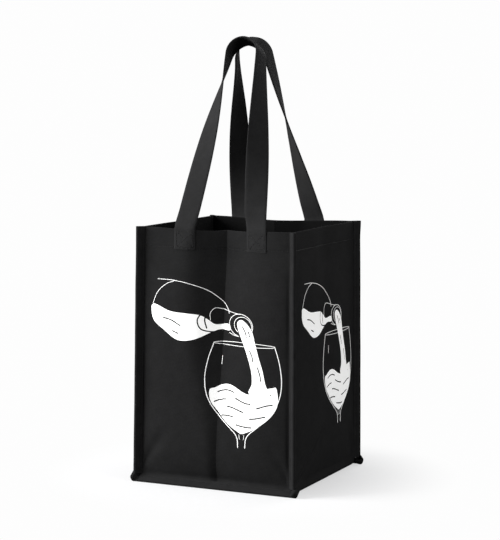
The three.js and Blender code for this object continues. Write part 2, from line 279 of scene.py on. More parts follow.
def pillow(a, z, half, stand):
    """How the fabric stands out between its seams: nothing at the corners and bottom, little at the rim."""
    sides = 1 - np.exp(-np.clip(half - np.abs(a), 0, None) / (23 * MM))
    bottom = 1 - np.exp(-np.clip(z - BOTTOM_BEND_Z, 0, None) / (15 * MM))
    bottom = bottom * (1.9 - 0.9 * smooth(z, 30 * MM, 120 * MM))
    top = 1 - 0.9 * smooth(z, RIM - 75 * MM, RIM - 18 * MM)
    return sides * bottom * top * stand


def corner_fade(a, half):
    """1 over the panel, fading to 0 where it turns into its corner seams."""
    return 1 - smooth(np.abs(a), half - 7 * MM, half - 3 * MM)


def uneven(a, z, *waves):
    """Soft waves in the fabric, each with a height and a wavelength in millimetres, and a seed."""
    place = together(a, z)
    return sum(height * MM * soft_noise(place, wavelength * MM, seed) for height, wavelength, seed in waves)


def front_bulge(x, z):
    """How far the front panel stands out of its flat plane."""
    bulge = pillow(x, z, HALF_WIDTH, 3.0 * MM) + creased(x, z, crease_x(z), 0.42, 2.3)
    bulge = bulge + uneven(x, z, (0.45, 75, 1), (0.14, 24, 2)) + hem_pucker(x, z, 3)
    bulge = bulge + fold(x, z, (-86, 20), (-52, 66), 1.3, 6) + fold(x, z, (86, 14), (58, 64), 1.0, 6)
    return bulge * corner_fade(x, HALF_WIDTH)


def rear_bulge(x, z):
    """The same for the rear panel, which the divider pulls in less."""
    bulge = pillow(x, z, HALF_WIDTH, 3.0 * MM) + creased(-x, z, crease_x(z), 0.22, 2.0)
    bulge = bulge + uneven(x, z, (0.45, 68, 5), (0.15, 25, 6)) + hem_pucker(x, z, 7)
    bulge = bulge + fold(x, z, (84, 20), (50, 70), 0.8, 7) + fold(x, z, (-84, 16), (-60, 66), 0.7, 7)
    return bulge * corner_fade(x, HALF_WIDTH)


def gusset_bulge(y, z, side):
    """The same for the two sides of the gusset strip: side is -1 for the left and 1 for the right."""
    valley = (0.5 + 1.3 * np.clip(z / RIM, 0, 1)) * MM * np.exp(-((y / (22 * MM)) ** 2))
    bulge = pillow(y, z, HALF_DEPTH, 2.2 * MM) - valley
    bulge = bulge + uneven(y, z, (0.45, 66, 11 + side), (0.15, 23, 14 + side)) + hem_pucker(y, z, 17 + side)
    bulge = bulge + fold(y, z, (-76, 6), (-4, 64), 3.2, 3.2) + fold(y, z, (86, 5), (58, 60), 0.9, 6)
    return bulge * corner_fade(y, HALF_DEPTH) * smooth(z, 2 * MM, 15 * MM)


def hem_pucker(a, z, seed):
    """The stitch line of the hem draws the fabric in, and the hem's lower edge shows faintly."""
    line = np.exp(-(((z - HEM_STITCH_Z) / (1.0 * MM)) ** 2))
    stretched = together(a, 0.25 * (z - HEM_STITCH_Z))
    ripple = soft_noise(stretched, 9 * MM, seed + 30) * np.exp(-(((z - HEM_STITCH_Z) / (9 * MM)) ** 2))
    below = 1 - smooth(z, RIM - HEM_DEPTH - 1 * MM, RIM - HEM_DEPTH + 1 * MM)
    return -0.2 * MM * below - 0.25 * MM * line + 0.1 * MM * ripple


# ---- Panels and gusset ----

def corner_path(s, end, z):
    """Across a panel: place along it and how far it stands out, at a distance s from its middle. The panel
    runs straight, then turns out along the diagonal into the corner seam. Near the floor it doesn't turn."""
    share = float(smooth(z, 6 * MM, 12 * MM))
    size = np.abs(s)
    straight = end - CORNER_START
    turn = np.clip((size - straight) / CORNER_BEND, 0, CORNER_TURN)
    beyond = np.clip(size - straight - CORNER_BEND * CORNER_TURN, 0, None)
    turned = CORNER_BEND * np.sin(turn) + beyond * math.cos(CORNER_TURN)
    along = np.minimum(size, straight) + share * turned
    along = along + (1 - share) * np.clip(size - straight, 0, CORNER_END_LOW)
    out = share * (CORNER_BEND * (1 - np.cos(turn)) + beyond * math.sin(CORNER_TURN))
    return np.sign(s) * along, out


def corner_end(end):
    return end - CORNER_START + CORNER_BEND * CORNER_TURN + FLANGE


def bottom_path(drop):
    """Below the bend line: how far out and how far down, at a distance along the fabric."""
    turn = np.clip(drop / BOTTOM_BEND, 0, BOTTOM_TURN)
    beyond = np.clip(drop - BOTTOM_BEND * BOTTOM_TURN, 0, None)
    out = BOTTOM_BEND * (1 - np.cos(turn)) + beyond * math.sin(BOTTOM_TURN)
    down = BOTTOM_BEND * np.sin(turn) + beyond * math.cos(BOTTOM_TURN)
    return out, down


def eased(count):
    """Numbers from 0 to 1, closer together towards both ends."""
    return 0.5 - 0.5 * np.cos(np.linspace(0, np.pi, count))


def columns_about(seam, end):
    """Distances across a panel, with fine columns in the corner bends and beside the seam in its middle."""
    edge = end - 4.5 * MM
    outer = np.linspace(corner_end(end), edge, 12)
    left = -edge + (seam + edge) * eased(34)
    right = seam + (edge - seam) * eased(34)
    return np.concatenate([-outer[:-1], left, right[1:], outer[::-1][1:]])


def fabric_thickness(s, z, end):
    """One layer, or two in the hem, whose very top is rounded over. The seam allowances are one layer."""
    hem = FABRIC * smooth(z, RIM - HEM_DEPTH - 1 * MM, RIM - HEM_DEPTH + 0.5 * MM)
    hem = hem - 0.9 * MM * smooth(z, RIM - 0.7 * MM, RIM)
    return FABRIC + hem * corner_fade(s, end)


def rim_round(z):
    return -0.45 * MM * smooth(z, RIM - 0.7 * MM, RIM) ** 2


RISES = np.concatenate([
    np.linspace(0, 60 * MM, 30, endpoint=False),
    np.linspace(60 * MM, 245 * MM, 62, endpoint=False),
    np.linspace(245 * MM, RIM - 1.2 * MM - BOTTOM_BEND_Z, 22, endpoint=False),
    np.linspace(RIM - 1.2 * MM, RIM, 6) - BOTTOM_BEND_Z,
])


def panel(name, bulge_at, seam_at, outward):
    """The front or rear panel, from its bottom seam allowance to the rim."""
    length = BOTTOM_BEND * BOTTOM_TURN + BOTTOM_FLANGE
    drops = np.linspace(length, 0, 12, endpoint=False)
    vs = np.concatenate([-drops, RISES])
    out_low, down = bottom_path(np.clip(-vs, 0, None))
    zs = BOTTOM_BEND_Z + np.clip(vs, 0, None) - down
    points, cloth, depth = [], [], []
    for z, v, low in zip(zs, vs, out_low):
        s = columns_about(float(seam_at(max(z, 0))), HALF_WIDTH)
        x, side = corner_path(s, HALF_WIDTH, z)
        bulge = bulge_at(x, np.full_like(x, max(z, BOTTOM_BEND_Z)))
        y = outward * (HALF_DEPTH + side + low + bulge + rim_round(z))
        points.append(together(x, y, z))
        cloth.append(together(s, v))
        depth.append(fabric_thickness(s, z, HALF_WIDTH))
    return shell(name, np.array(points), np.array(depth), np.array(cloth), (0, outward, 0))


def gusset_strip():
    """Left side, base and right side in one length, turned under at both lower edges."""
    arc = FOLD_RADIUS * math.pi / 2
    half_base = HALF_WIDTH - FOLD_RADIUS
    wall = RISES + BOTTOM_BEND_Z
    wall = np.concatenate([np.linspace(FOLD_RADIUS, BOTTOM_BEND_Z, 6, endpoint=False), wall])
    up = half_base + arc + (wall - FOLD_RADIUS)
    turn = half_base + np.linspace(0, arc, 8, endpoint=False)
    base = np.linspace(0, half_base, 24, endpoint=False)
    half = np.concatenate([base, turn, up])
    vs = np.concatenate([-half[:0:-1], half])
    points, cloth, depth = [], [], []
    for v in vs:
        size, side = abs(v), (-1 if v < 0 else 1)
        angle = min(max(size - half_base, 0) / FOLD_RADIUS, math.pi / 2)
        climb = max(size - half_base - arc, 0)
        x = min(size, half_base) + FOLD_RADIUS * math.sin(angle)
        z = FOLD_RADIUS * (1 - math.cos(angle)) + climb
        s = columns_about(0.0, HALF_DEPTH)
        y, stand = corner_path(s, HALF_DEPTH, z)
        bulge = gusset_bulge(y, np.full_like(y, z), side)
        under = 1 - float(smooth(z, 0, 6 * MM))
        edge = smooth(np.abs(y), HALF_DEPTH - 3 * MM, HALF_DEPTH) * BASE_EDGE_LIFT * under
        out = stand + bulge + float(rim_round(z))
        px = side * (x + out * math.sin(angle))
        pz = z - out * math.cos(angle) + edge * math.cos(angle)
        points.append(together(px, y, pz))
        cloth.append(together(s, v))
        depth.append(fabric_thickness(s, z, HALF_DEPTH))
    outer = np.array(points)
    return shell("gusset_strip_cloth", outer, np.array(depth), np.array(cloth), outer - (0, 0, RIM / 2))


# ---- Bindings ----

def tape_profile(depth, half):
    """The section of a tape folded around a seam, as places out along the seam and across it. The tape is
    drawn in along its stitches, near its free edges."""
    slot = half - TAPE
    tip = depth - half
    turn = np.linspace(-math.pi / 2, math.pi / 2, 9)
    lower = [(-1.2 * MM, -half), (STITCH_REACH - 0.7 * MM, -half + 0.05 * MM),
             (STITCH_REACH, -half + 0.3 * MM), (STITCH_REACH + 1.2 * MM, -half)]
    around = [(tip + half * math.cos(t), half * math.sin(t)) for t in turn]
    upper = [(u, -v) for u, v in reversed(lower)]
    inner = [(-1.1 * MM, slot), (tip, slot), (tip, -slot), (-1.1 * MM, -slot)]
    return np.array(lower + around + upper + inner)


def tape(name, centres, out, across, depth, half, widen, thicken, cloth_along):
    """A tape swept along a seam, and the stitches that run along both of its faces."""
    profile = tape_profile(depth, half) * np.stack([widen, thicken], -1)[:, None]
    body = sweep(name, centres, out[None], across[None], profile, cloth_along)
    level = ((half - 0.3 * MM) * thicken + 0.08 * MM)[:, None] * across
    line = centres + STITCH_REACH * widen[:, None] * out
    segments = [segment for face in (-1, 1) for segment in stitch_segments((line + face * level)[4:-4])]
    return body, stitches(f"{name}_stitch", segments)


def corner_binding(name, x_sign, y_sign, seed, flare):
    """Tape around a vertical corner seam, a little wavy along its length."""
    zs = np.linspace(BINDING_BOTTOM, RIM, 110)
    out = np.array([x_sign, y_sign, 0]) / math.sqrt(2)
    across = np.array([-y_sign, x_sign, 0]) / math.sqrt(2)
    line = together(zs, 3 * MM)
    wave = 0.4 * MM * soft_noise(line, 60 * MM, seed) + 0.1 * MM * soft_noise(line, 11 * MM, seed + 1)
    top = smooth(zs, RIM - 22 * MM, RIM)
    root = np.array([x_sign * HALF_WIDTH, y_sign * HALF_DEPTH, 0]) - out * 0.4 * MM
    centres = root + wave[:, None] * across + together(0, 0, zs)
    thicken = 1 + 0.08 * soft_noise(line, 16 * MM, seed + 2) + flare * 0.25 * top
    widen = 1 + 0.02 * soft_noise(line, 25 * MM, seed + 3) + flare * 0.1 * top
    return tape(name, centres, out, across, 8.2 * MM, 2.1 * MM, widen, thicken, zs)


def bottom_binding(name, outward, seed):
    """Tape around a bottom seam. It slopes out and down to the floor, and its ends are folded into nubs."""
    reach = BOTTOM_BINDING_END + 5 * MM
    xs = reach * np.sin(np.linspace(-math.pi / 2, math.pi / 2, 141))
    slope = math.pi / 2 - BOTTOM_TURN
    out = np.array([0, outward * math.cos(slope), -math.sin(slope)])
    across = np.array([0, outward * math.sin(slope), math.cos(slope)])
    line = together(xs, 9 * MM)
    from_end = reach - np.abs(xs)
    nub = smooth(from_end, 7.5 * MM, 4.5 * MM)
    lift = 0.2 * MM * soft_noise(line, 50 * MM, seed) + 1.8 * MM * nub
    root = np.array([0, outward * (HALF_DEPTH + 0.2 * MM), 5.9 * MM])
    centres = root + lift[:, None] * across + together(xs, 0, 0)
    cap = np.sqrt(np.clip(1 - np.clip(1 - from_end / (3.2 * MM), 0, 1) ** 2, 0.03, 1))
    thicken = cap * (1 + 1.5 * nub + 0.06 * soft_noise(line, 14 * MM, seed + 1))
    widen = 0.55 + 0.45 * cap
    return tape(name, centres, out, across, 8.4 * MM, 1.7 * MM, widen, thicken, xs)


# ---- Inside ----

def divider(name, start_of, end_of, seed, outward):
    """A sheet between two upright seams, hung loosely so that it waves a little."""
    zs = np.linspace(DIVIDER_BOTTOM, DIVIDER_TOP, 46)
    ts = np.linspace(0, 1, 40)
    points, cloth = [], []
    for z in zs:
        start, end = np.array(start_of(z)), np.array(end_of(z))
        row = start + (end - start) * ts[:, None]
        across = np.array([-(end - start)[1], (end - start)[0], 0])
        across = across / np.linalg.norm(across)
        place = together(ts * np.linalg.norm(end - start), z)
        sway = 1.6 * MM * soft_noise(place, 60 * MM, seed) * np.sin(np.pi * ts)
        points.append(row + sway[:, None] * across)
        cloth.append(place)
    return shell(name, np.array(points), FABRIC, np.array(cloth), outward)


def panel_seam(outward, bulge_at):
    """Where a divider is sewn to the front (-1) or rear (1) panel, as a function of height."""
    def at(z):
        x = -outward * float(crease_x(z))
        return x, outward * (HALF_DEPTH - FABRIC + float(bulge_at(np.array(x), np.array(z)))), z
    return at


def side_seam(side):
    """The same for the left (-1) or right (1) side of the gusset strip."""
    def at(z):
        bulge = float(gusset_bulge(np.array(0.0), np.array(z), side))
        return side * (HALF_WIDTH - 1.3 * MM + bulge), 0.0, z
    return at


def middle_seam(side):
    """The same for the centre divider, on its left (-1) or right (1) face."""
    return lambda z: (side * 0.8 * MM, 0.0, z)


def base_board():
    """A stiff board with rounded corners and softened edges."""
    low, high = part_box("base_board")
    corner = 6 * MM
    inner = high.x - corner
    outline = []
    for k, (x_sign, y_sign) in enumerate(((1, 1), (-1, 1), (-1, -1), (1, -1))):
        angles = np.linspace(0, math.pi / 2, 7) + k * math.pi / 2
        centre = np.array([x_sign, y_sign]) * inner
        outline += [centre + corner * np.array([math.cos(a), math.sin(a)]) for a in angles]
    shares = (0.2, 0.4, 0.6, 0.8, 0.93, 0.99, 1.0)
    dips = np.array([0, 0, 0, 0, 0, 0.05, 0.35]) * MM
    levels = list(zip(shares, high.z - dips)) + list(zip(shares, low.z + dips))[::-1]
    rings = np.array([[(x * share, y * share, z) for x, y in outline] for share, z in levels])
    return mesh_object("base_board_cloth", rings.reshape(-1, 3), tube(numbered(rings)), rings[..., :2])


# ---- Handles ----

class Handle:
    """Where one handle's strap runs. outward is -1 for the front and 1 for the rear, and centre_at_top is
    where the loop's top is in x. For the left and the right leg, twist_powers say how late the strap turns
    edge on, and squeezes add a twist in degrees."""

    def __init__(self, place, outward, centre_at_top, twist_powers, squeezes):
        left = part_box(f"{place}_left_strap_end")
        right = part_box(f"{place}_right_strap_end")
        self.place, self.outward = place, outward
        self.legs = ((left[0].x + left[1].x) / 2, (right[0].x + right[1].x) / 2)
        self.middle = (left[0].y + left[1].y) / 2
        self.centre_at_rim = sum(self.legs) / 2
        self.spacing = (self.legs[1] - self.legs[0]) / 2
        self.centre_at_top, self.twist_powers, self.squeezes = centre_at_top, twist_powers, squeezes
        reach = abs(self.middle) - STRAP_WIDTH / 2 - 0.5 * MM
        self.lean = math.asin(reach / LOOP_SLANT)
        self.arc_centre = LOOP_SLANT - LOOP_TOP_RADIUS
        to_centre = math.hypot(self.spacing, self.arc_centre)
        self.leg_lean = math.atan2(self.spacing, self.arc_centre) - math.asin(LOOP_TOP_RADIUS / to_centre)
        self.leg = math.sqrt(to_centre**2 - LOOP_TOP_RADIUS**2)
        self.half_length = self.leg + LOOP_TOP_RADIUS * (math.pi / 2 - self.leg_lean)

    def station(self, along, sign):
        """Centre, across and out vectors at a distance from the rim, on the left (-1) or right (1) leg."""
        up_slope = np.array([0, -self.outward * math.sin(self.lean), math.cos(self.lean)])
        plane_out = np.array([0, self.outward * math.cos(self.lean), math.sin(self.lean)])
        right = np.array([1.0, 0, 0])
        if along <= self.leg:
            aside = self.spacing - along * math.sin(self.leg_lean)
            up, angle = along * math.cos(self.leg_lean), self.leg_lean
        else:
            angle = self.leg_lean + (along - self.leg) / LOOP_TOP_RADIUS
            aside = LOOP_TOP_RADIUS * math.cos(angle)
            up = self.arc_centre + LOOP_TOP_RADIUS * math.sin(angle)
        share = up / LOOP_SLANT
        centre_x = self.centre_at_rim + (self.centre_at_top - self.centre_at_rim) * share
        leg = 0 if sign < 0 else 1
        part = along / self.half_length
        twist = math.pi / 2 * math.sin(math.pi / 2 * part ** self.twist_powers[leg])
        twist += math.radians(self.squeezes[leg]) * math.sin(math.pi * part**4)
        centre = np.array([centre_x + sign * aside, self.middle, RIM]) + up * up_slope
        in_plane = sign * math.cos(angle) * right + math.sin(angle) * up_slope
        across = math.cos(twist) * in_plane - math.sin(twist) * plane_out
        out = math.sin(twist) * in_plane + math.cos(twist) * plane_out
        return centre, across, out


def strap_section():
    """The cross-section of a strap, with its two edges rounded."""
    thick = STRAP_THICKNESS / 2
    flat = STRAP_WIDTH / 2 - thick
    half = [(f, -thick) for f in np.linspace(-flat, flat, 9)[1:-1]]
    turn = np.linspace(-math.pi / 2, math.pi / 2, 5)
    half += [(flat + thick * math.cos(t), thick * math.sin(t)) for t in turn]
    return np.array(half + [(-u, -v) for u, v in half])


def strap(handle, bulge_at):
    """One continuous strap: sewn end, loop, sewn end. It cups very slightly."""
    flat_out = np.array([0, handle.outward, 0.0])
    loop = np.concatenate([np.linspace(LOOP_START, handle.leg, LEG_STATIONS, endpoint=False),
                           np.linspace(handle.leg, handle.half_length, TOP_STATIONS, endpoint=False)])

    def half(x, sign):
        sewn = [(np.array([x, handle.middle, z]), np.array([sign, 0, 0.0]), flat_out)
                for z in np.linspace(STRAP_END_Z, RIM - 0.4 * MM, SEWN_STATIONS)]
        return sewn + [handle.station(along, sign) for along in loop]

    top = handle.station(handle.half_length, 1)
    frames = [*half(handle.legs[0], -1), top, *half(handle.legs[1], 1)[::-1]]
    centres, across, out = (np.array(part) for part in zip(*frames))
    lengths = np.concatenate([[0], np.cumsum(np.linalg.norm(np.diff(centres, axis=0), axis=1))])
    from_end = np.minimum(lengths, lengths[-1] - lengths)
    profile = np.repeat(strap_section()[None], len(frames), 0)
    profile[..., 1] *= (STRAP_PRESSED + (1 - STRAP_PRESSED) * smooth(from_end, 16 * MM, 30 * MM))[:, None]
    line = together(lengths, handle.outward * 40 * MM)
    cup = 0.35 * MM * soft_noise(line, 55 * MM, 21) * smooth(lengths, 15 * MM, 60 * MM)
    profile[..., 1] += cup[:, None] * (1 - (profile[..., 0] / (STRAP_WIDTH / 2)) ** 2)
    place = together(profile[..., 0] + NOISE_ASIDE, lengths[:, None])
    profile[..., 1] += 0.1 * MM * soft_noise(place, 12 * MM, 23)
    piece = sweep(f"{handle.place}_strap", centres, across, out, profile, lengths)

    def sew(co):
        near = 1 - smooth(co[:, 2], RIM, RIM + 22 * MM)
        sunk = STRAP_SUNK * (1 - smooth(co[:, 2], RIM - 6 * MM, RIM + 10 * MM))
        co[:, 1] += handle.outward * (near * bulge_at(co[:, 0], np.clip(co[:, 2], 0, RIM)) - sunk)

    move_vertices(piece, sew)
    return piece


# ---- Stitches ----

def stitches(name, segments):
    """Short rounded threads, each from one point to another."""
    sides = 6
    shares = np.array([0.0, 0.12, 0.5, 0.88, 1.0])
    radii = np.array([0.25, 0.8, 1.0, 0.8, 0.25]) * THREAD / 2
    angles = 2 * math.pi * np.arange(sides)[:, None] / sides
    index = np.arange(len(shares) * sides).reshape(-1, sides)
    one_cloth = [(k * THREAD / 2, share * STITCH_LENGTH) for share in shares for k in range(sides)]
    vertices, faces = [], []
    for start, end in segments:
        direction = (end - start) / np.linalg.norm(end - start)
        a = np.cross(direction, (0, 0, 1) if abs(direction[2]) < 0.9 else (1, 0, 0))
        a /= np.linalg.norm(a)
        spokes = np.cos(angles) * a + np.sin(angles) * np.cross(direction, a)
        faces += [face + len(vertices) for face in tube(index)]
        for share, radius in zip(shares, radii):
            vertices += list(start + (end - start) * share + radius * spokes)
    return mesh_object(name, vertices, faces, one_cloth * len(segments))


def stitch_segments(points):
    """The start and end of each stitch along a line of points."""
    steps = np.linalg.norm(np.diff(points, axis=0), axis=1)
    places = np.concatenate([[0], np.cumsum(steps)])
    starts = np.arange(0.4 * MM, places[-1] - STITCH_LENGTH, STITCH_PITCH)

    def at(place):
        return np.array([np.interp(place, places, points[:, k]) for k in range(3)])

    return [(at(s), at(s + STITCH_LENGTH)) for s in starts]


def panel_hem_stitch(name, bulge_at, handle):
    """The hem's stitch line across a panel, hidden where the strap ends cover it."""
    xs = np.linspace(-HALF_WIDTH + 3 * MM, HALF_WIDTH - 3 * MM, 200)
    covered = np.zeros_like(xs, bool)
    for leg in handle.legs:
        covered |= np.abs(xs - leg) < STRAP_WIDTH / 2
    over_strap = np.where(covered, STRAP_PRESSED * STRAP_THICKNESS + 0.1 * MM, 0)
    bulge = bulge_at(xs, np.full_like(xs, HEM_STITCH_Z))
    y = handle.outward * (HALF_DEPTH + bulge + 0.1 * MM + over_strap)
    return stitches(name, stitch_segments(together(xs, y, HEM_STITCH_Z)))


def gusset_hem_stitch(name, side):
    ys = np.linspace(-HALF_DEPTH + 3 * MM, HALF_DEPTH - 3 * MM, 200)
    x = side * (HALF_WIDTH + gusset_bulge(ys, np.full_like(ys, HEM_STITCH_Z), side) + 0.1 * MM)
    return stitches(name, stitch_segments(together(x, ys, HEM_STITCH_Z)))


def patch_stitch(handle, side, name, bulge_at):
    """A box of stitches with a cross in it, on a sewn strap end."""
    low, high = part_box(f"{handle.place}_{side}_patch_stitch")
    corners = [(low.x, low.z), (high.x, low.z), (high.x, high.z), (low.x, high.z)]
    strokes = [*zip(corners, corners[1:] + corners[:1]), corners[::2], corners[1::2]]
    face = abs(handle.middle) + STRAP_PRESSED * STRAP_THICKNESS / 2 - STRAP_SUNK
    segments = []
    for (x0, z0), (x1, z1) in strokes:
        t = np.linspace(0, 1, 24)
        x, z = x0 + (x1 - x0) * t, z0 + (z1 - z0) * t
        y = handle.outward * (face + bulge_at(x, z) + 0.08 * MM)
        segments += stitch_segments(together(x, y, z))
    return stitches(name, segments)


# ---- Print: a plain bottle pouring into a plain glass, drawn in millimetres ----

ART_LOW, ART_HIGH = (-76, 42), (84, 230)
ART_GRID = 0.4  # spacing of the points where the distance to the ink's edge is kept
LINE, THIN_LINE, GAP_LINE = 0.8, 0.5, 1.4  # widths of a drawn line, a thin one, and one left bare
INK_STAND, INK_ROOT = 0.12 * MM, 0.1 * MM  # above and below the face of the fabric
SIDE_SCALE = 0.93  # the side print is drawn smaller, about a point near its top right corner
SIDE_ANCHOR = np.array([78, 206]) * MM
MOUTH, BOTTLE_TILT = (28, 178), 12
GLASS_X, GLASS_RIM, GLASS_FOOT = 33, 158, 48
WINE_Z, WAVE_HEIGHT, WAVE_LENGTH = 110, 4.5, 56
WINE_LEFT, WINE_RIGHT = -6.5, 72.5
# lines left bare in the wine: depth below the surface, and where each starts and ends
RIPPLES = [(6, 2, 22), (7, 56, 66), (11, 24, 42), (15, -1, 12), (17, 50, 68), (22, 14, 34), (28, 42, 60),
           (31, 8, 22), (38, 26, 44)]


class Drawing:
    """A picture as signed distances on a grid: negative is ink."""

    FAR = 50.0

    def __init__(self):
        axes = [np.arange(low, high + ART_GRID, ART_GRID) for low, high in zip(ART_LOW, ART_HIGH)]
        self.points = np.stack(np.meshgrid(*axes), -1)
        self.field = np.full(self.points.shape[:2], self.FAR)

    def around(self, line):
        """The part of the grid around a line, and its distances to the line."""
        margin = 4
        low = ((line.min(0) - margin - ART_LOW) / ART_GRID).astype(int).clip(0)
        high = ((line.max(0) + margin - ART_LOW) / ART_GRID).astype(int)
        where = slice(low[1], high[1]), slice(low[0], high[0])
        points = self.points[where]
        nearest = np.full(points.shape[:2], np.inf)
        for a, b in zip(line[:-1], line[1:]):
            along = b - a
            t = np.clip(((points - a) @ along) / max(along @ along, 1e-9), 0, 1)
            nearest = np.minimum(nearest, np.linalg.norm(points - a - t[..., None] * along, axis=-1))
        return where, nearest

    def stroke(self, line, width=THIN_LINE):
        where, distance = self.around(line)
        self.field[where] = np.minimum(self.field[where], distance - width / 2)

    def curves(self, *lines, width=THIN_LINE):
        """Draws smooth lines, each through a few points."""
        for points in lines:
            self.stroke(through(points, 8), width)

    def gaps(self, *lines):
        """Takes smooth lines out of the ink."""
        for points in lines:
            where, distance = self.around(through(points, 8))
            self.field[where] = np.maximum(self.field[where], GAP_LINE / 2 - distance)

    def fill(self, points, steps=6):
        """Fills a smooth closed outline."""
        outline = through(points, steps, closed=True)
        outline = np.vstack([outline, outline[:1]])
        where, distance = self.around(outline)
        x, z = np.moveaxis(self.points[where], -1, 0)
        inside = np.zeros(x.shape, bool)
        for (x0, z0), (x1, z1) in zip(outline[:-1], outline[1:]):
            if z0 != z1:
                inside ^= ((z0 > z) != (z1 > z)) & (x < x0 + (z - z0) * (x1 - x0) / (z1 - z0))
        self.field[where] = np.minimum(self.field[where], np.where(inside, -distance, distance))


def ellipse(centre, width, height, tilt=0.0, start=0.0, end=360.0):
    t = np.radians(np.linspace(start, end, 40))
    u, v = width / 2 * np.cos(t), height / 2 * np.sin(t)
    c, s = math.cos(math.radians(tilt)), math.sin(math.radians(tilt))
    return np.stack([centre[0] + u * c - v * s, centre[1] + u * s + v * c], -1)


def along_bottle(*points):
    """Points given as (distance back from the bottle's mouth, distance above its axis)."""
    t = math.radians(BOTTLE_TILT)
    back, up = np.array([-math.cos(t), math.sin(t)]), np.array([math.sin(t), math.cos(t)])
    return [MOUTH + u * back + v * up for u, v in points]


def draw_bottle(art):
    at = along_bottle
    wine_top = [(104, -3), (82, -5), (62, -2.5), (48, -1), (38, -4), (30, -7), (16, -3)]
    wine_under = [(13, -9), (24, -11), (32, -16), (48, -28), (66, -33), (84, -27), (100, -19)]
    art.fill(at(*wine_top, *wine_under))
    art.curves(at((104, 25), (86, 28.5), (66, 29.5), (46, 27), (30, 20), (21, 13), (18, 8)),
               at((83, 28.5), (93, 22), (101, 11), (104, -2)),
               at((36, -4), (38, 3), (35, 9.5), (28, 11), (16, 10.5), (5, 11)),
               at((13, -11.5), (6, -12.5), (0, -12)))
    art.stroke(ellipse(MOUTH, 31, 24, -BOTTLE_TILT, -60, 262))
    art.stroke(ellipse((MOUTH[0] + 2.5, MOUTH[1]), 23, 18, -BOTTLE_TILT, -30, 250))
    art.gaps(at((39, 4), (42, -4), (38, -13)), at((47, 1), (49, -7), (44, -15), (34, -16), (24, -13)),
             at((88, -14), (78, -14), (66, -17)), at((74, -25), (67, -26)))


def draw_stream(art):
    left = [(23, 180), (26, 170), (32, 158), (38, 144), (42.5, 130), (43.5, 117), (41, 106)]
    right = [(66, 100), (59.5, 118), (56, 132), (51, 146), (46.5, 160), (43, 171), (36, 180), (28, 184)]
    art.fill(left + right)
    art.gaps([(30, 177), (34, 171), (35.5, 166)], [(38, 172), (40, 167)],
             [(40, 152), (43, 146), (44, 141)], [(50, 135), (53, 127), (54, 121)])


def wine_level(x, depth):
    """A plain wave, flatter the deeper it lies below the surface of the wine."""
    return WINE_Z - depth + WAVE_HEIGHT * (1 - depth / 60) * math.sin(2 * math.pi * (x + 1) / WAVE_LENGTH)


def draw_glass(art):
    side = [(37.5, GLASS_RIM - 1), (42.5, 140), (45, 120), (42, 101), (32, 84), (18, 71), (8.5, 63), (5, 57),
            (4.2, GLASS_FOOT)]
    for hand in (-1, 1):
        art.curves([(GLASS_X + hand * x, z) for x, z in side], width=LINE)
        art.curves([(GLASS_X + hand * 3, 62), (GLASS_X + hand * 2.3, 57)])
    art.stroke(ellipse((GLASS_X, GLASS_RIM), 75, 4.2))
    art.curves([(5, 144), (4.5, 135)])
    surface = [(x, wine_level(x, 0)) for x in np.linspace(WINE_LEFT, WINE_RIGHT, 18)]
    under = [(74, 97), (66, 83), (51, 71), (38, 64.5), (33, 63), (28, 65), (15, 73), (1, 87), (-5.5, 97)]
    art.fill(surface + under, 5)
    for depth, left, right in RIPPLES:
        art.gaps([(x, wine_level(x, depth)) for x in np.linspace(left, right, 5)])


def contours(art):
    """Where the field crosses zero: points on the grid's edges, and the short edges that join them."""
    ink = art.field < 0
    points, found, edges = [], {}, []

    def crossing(first, second):
        """The number of the point between a bare grid corner and an inked one."""
        first, second = sorted((first, second))
        if (first, second) not in found:
            a, b = art.field[first], art.field[second]
            share = np.clip(a / (a - b), 0.03, 0.97)
            found[first, second] = len(points)
            points.append(art.points[first] + share * (art.points[second] - art.points[first]))
        return found[first, second]

    mixed = ink[:-1, :-1].astype(int) + ink[:-1, 1:] + ink[1:, :-1] + ink[1:, 1:]
    for r, c in zip(*np.nonzero((mixed > 0) & (mixed < 4))):
        corners = [(r, c), (r, c + 1), (r + 1, c + 1), (r + 1, c)]
        cuts = [crossing(a, b) for a, b in zip(corners, corners[1:] + corners[:1]) if ink[a] != ink[b]]
        if len(cuts) == 4 and ink[corners[0]]:
            cuts = cuts[3:] + cuts[:3]
        edges += zip(cuts[::2], cuts[1::2])
    return np.array(points), edges


def flat_print(art):
    """The picture as flat triangles, in metres."""
    points, edges = contours(art)
    step = int(2.5 / ART_GRID)  # a coarse grid of points within the ink lets the film follow the fabric
    coarse = art.points[::step, ::step][art.field[::step, ::step] < -0.8]
    made = delaunay_2d_cdt([Vector(p) for p in (*points, *coarse)], edges, [], 0, 1e-4)
    flat = np.array([tuple(v) for v in made[0]])
    triangles = np.array([tuple(f) for f in made[2]])
    column, row = ((flat[triangles].mean(1) - ART_LOW) / ART_GRID).T
    c, r = np.floor(column).astype(int), np.floor(row).astype(int)
    fc, fr = column - c, row - r
    field = art.field
    level = ((field[r, c] * (1 - fc) + field[r, c + 1] * fc) * (1 - fr)
             + (field[r + 1, c] * (1 - fc) + field[r + 1, c + 1] * fc) * fr)
    used, triangles = np.unique(triangles[level < 0], return_inverse=True)
    return flat[used] * MM, triangles.reshape(-1, 3)


